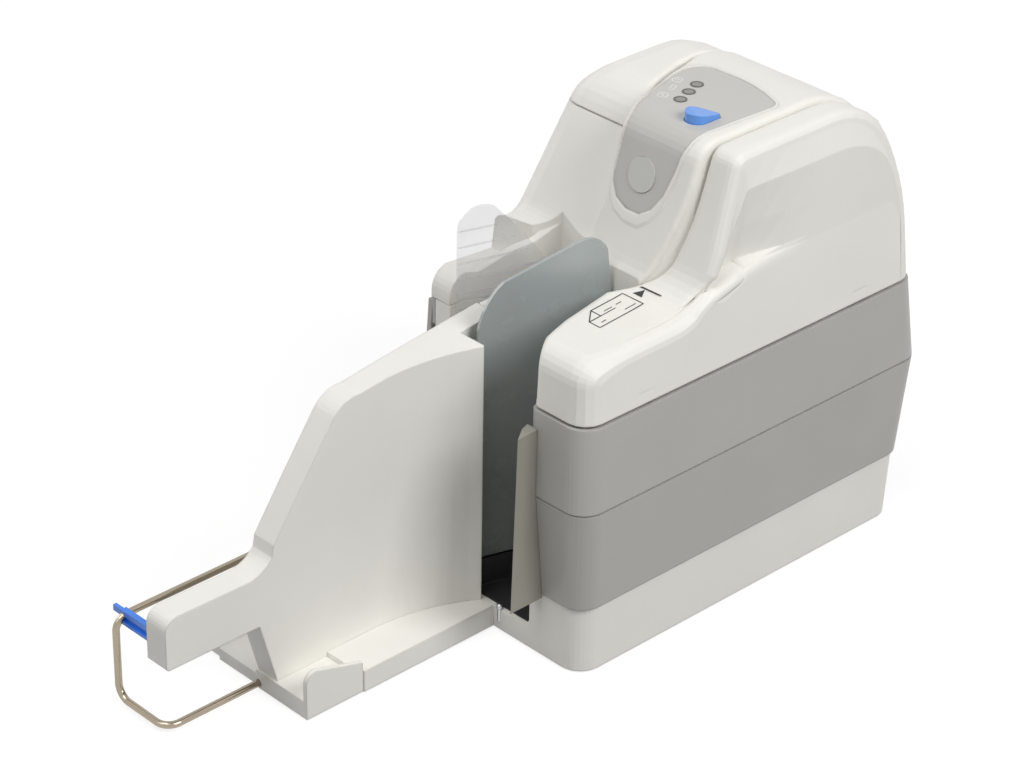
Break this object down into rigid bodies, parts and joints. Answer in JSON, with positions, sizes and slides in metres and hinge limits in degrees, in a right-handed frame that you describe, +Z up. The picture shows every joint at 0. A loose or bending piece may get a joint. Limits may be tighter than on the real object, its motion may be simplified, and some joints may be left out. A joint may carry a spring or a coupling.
{
  "type": "cheque scanner",
  "caption": "Desktop cheque scanner with an upright document slot, divider arm and tray, hinged front and printer covers, and a drop-shaped feed button.",
  "frame": {"origin": "middle of the body's footprint on the desk", "axes": "+X towards the closed right end, +Y towards the back, +Z up"},
  "size_m": [0.3409, 0.125, 0.203],
  "materials": {
    "white_plastic": "satin moulded plastic with a fine texture, warm white",
    "grey_plastic": "satin moulded plastic with a fine texture, mid grey",
    "panel_plastic": "smooth satin overlay, light grey",
    "lip_plastic": "satin plastic, olive grey",
    "smoke_plastic": "smoke-tinted clear plastic",
    "clear_plastic": "clear plastic",
    "blue_plastic": "moulded plastic, bright blue",
    "button_plastic": "moulded plastic, light blue",
    "nickel_wire": "bent wire, nickel plated",
    "steel": "turned or stamped steel",
    "brass": "turned brass",
    "rubber": "dull black rubber",
    "dark_plastic": "matt black plastic",
    "board_green": "lacquered circuit board",
    "badge_plastic": "plain disc, left bare"
  },
  "bodies": {
    "housing": {"base_casing": "white_plastic", "lower_band": "grey_plastic", "upper_band": "grey_plastic", "tray": "white_plastic", "tray_end": "white_plastic", "divider_arm": "white_plastic", "feeder_lip": "lip_plastic", "centre_housing": "white_plastic", "control_panel": "panel_plastic", "rear_housing": "white_plastic", "button_switch": "dark_plastic", "indicator_lenses": "clear_plastic", "indicator_board": "board_green", "panel_badge": "badge_plastic", "slot_liner": "dark_plastic", "guide_pin": "steel", "outer_track_wall": "white_plastic", "inner_track_wall": "white_plastic", "separator_pad": "rubber", "pinch_axles": "steel", "drive_motor": "steel", "drive_belt": "rubber", "feed_motor": "steel", "feed_belt": "rubber", "exit_belt": "rubber", "front_sensor": "dark_plastic", "rear_sensor": "dark_plastic", "magnetic_head": "steel", "main_board": "board_green", "board_posts": "white_plastic", "usb_socket": "steel", "power_inlet": "dark_plastic", "cartridge_holder": "dark_plastic", "print_cartridge": "dark_plastic", "plate_posts": "steel", "rubber_feet": "rubber", "base_screws": "steel"},
    "front_cover": {"front_cover": "white_plastic", "cover_hinge_pins": "steel"},
    "printer_cover": {"printer_cover": "white_plastic", "lid_hinge_pin": "steel"},
    "feed_button": {"feed_button": "button_plastic"},
    "wire_stop": {"wire_stop": "nickel_wire", "stop_clip": "blue_plastic"},
    "feeder_plate": {"feeder_plate": "smoke_plastic"},
    "exit_guide": {"exit_guide": "clear_plastic"},
    "feed_roll": {"feed_roller": "rubber", "feed_shaft": "steel"},
    "left_drive": {"left_drive_roller": "rubber", "left_drive_shaft": "steel"},
    "right_drive": {"right_drive_roller": "rubber", "right_drive_shaft": "steel"},
    "exit_drive": {"exit_roller": "rubber", "exit_shaft": "steel"},
    "left_pinch": {"left_pinch_roller": "dark_plastic"},
    "right_pinch": {"right_pinch_roller": "dark_plastic"},
    "exit_pinch": {"exit_pinch_roller": "dark_plastic"},
    "drive_pulley": {"drive_pulley": "brass"},
    "feed_pulley": {"feed_pulley": "brass"}
  },
  "joints": [
    {"name": "front_cover_hinge", "type": "hinge", "parent": "housing", "child": "front_cover", "pos_m": [0, -0.0566, 0.115], "axis": [1, 0, 0], "range_deg": [0, 50]},
    {"name": "printer_cover_hinge", "type": "hinge", "parent": "housing", "child": "printer_cover", "pos_m": [0.0754, 0.037, 0.1833], "axis": [0, 1, 0], "range_deg": [0, 75]},
    {"name": "feed_button_press", "type": "slide", "parent": "housing", "child": "feed_button", "axis": [0, 0, -1], "range_m": [0, 0.0012], "stiffness_N_per_m": 800, "springref_m": -0.002},
    {"name": "wire_stop_slide", "type": "slide", "parent": "housing", "child": "wire_stop", "axis": [1, 0, 0], "range_m": [0, 0.04]},
    {"name": "feeder_plate_swing", "type": "hinge", "parent": "housing", "child": "feeder_plate", "pos_m": [-0.0911, 0.006, 0.06], "axis": [0, 0, -1], "range_deg": [0, 4], "stiffness_Nm_per_rad": 0.05},
    {"name": "exit_guide_swing", "type": "hinge", "parent": "housing", "child": "exit_guide", "pos_m": [-0.0316, 0.025, 0.06], "axis": [0, 0, -1], "range_deg": [0, 8], "stiffness_Nm_per_rad": 0.03},
    {"name": "left_drive_spin", "type": "hinge", "parent": "housing", "child": "left_drive", "pos_m": [-0.003, -0.0079, 0.05], "axis": [0, 0, 1], "continuous": true},
    {"name": "right_drive_spin", "type": "hinge", "parent": "housing", "child": "right_drive", "pos_m": [0.047, -0.0079, 0.05], "axis": [0, 0, 1], "continuous": true},
    {"name": "exit_drive_spin", "type": "hinge", "parent": "housing", "child": "exit_drive", "pos_m": [0.03661, 0.01175, 0.05], "axis": [0, 0, 1], "continuous": true},
    {"name": "left_pinch_spin", "type": "hinge", "parent": "housing", "child": "left_pinch", "pos_m": [-0.003, -0.0222, 0.05], "axis": [0, 0, 1], "continuous": true},
    {"name": "right_pinch_spin", "type": "hinge", "parent": "housing", "child": "right_pinch", "pos_m": [0.047, -0.0222, 0.05], "axis": [0, 0, 1], "continuous": true},
    {"name": "exit_pinch_spin", "type": "hinge", "parent": "housing", "child": "exit_pinch", "pos_m": [0.0323, 0.02539, 0.05], "axis": [0, 0, 1], "continuous": true},
    {"name": "drive_pulley_spin", "type": "hinge", "parent": "housing", "child": "drive_pulley", "pos_m": [0.022, -0.0029, 0.05], "axis": [0, 0, 1], "continuous": true},
    {"name": "feed_roll_spin", "type": "hinge", "parent": "housing", "child": "feed_roll", "pos_m": [-0.023, -0.0282, 0.05], "axis": [0, 0, 1], "continuous": true},
    {"name": "feed_pulley_spin", "type": "hinge", "parent": "housing", "child": "feed_pulley", "pos_m": [0.007, -0.037, 0.05], "axis": [0, 0, 1], "continuous": true}
  ],
  "couplings": [
    {"joint": "right_drive_spin", "follows": "left_drive_spin", "ratio": 1},
    {"joint": "exit_drive_spin", "follows": "left_drive_spin", "ratio": 1},
    {"joint": "left_pinch_spin", "follows": "left_drive_spin", "ratio": -1.3333},
    {"joint": "right_pinch_spin", "follows": "left_drive_spin", "ratio": -1.3333},
    {"joint": "exit_pinch_spin", "follows": "left_drive_spin", "ratio": -1.3333},
    {"joint": "drive_pulley_spin", "follows": "left_drive_spin", "ratio": 1.5},
    {"joint": "feed_pulley_spin", "follows": "feed_roll_spin", "ratio": 1.5}
  ]
}
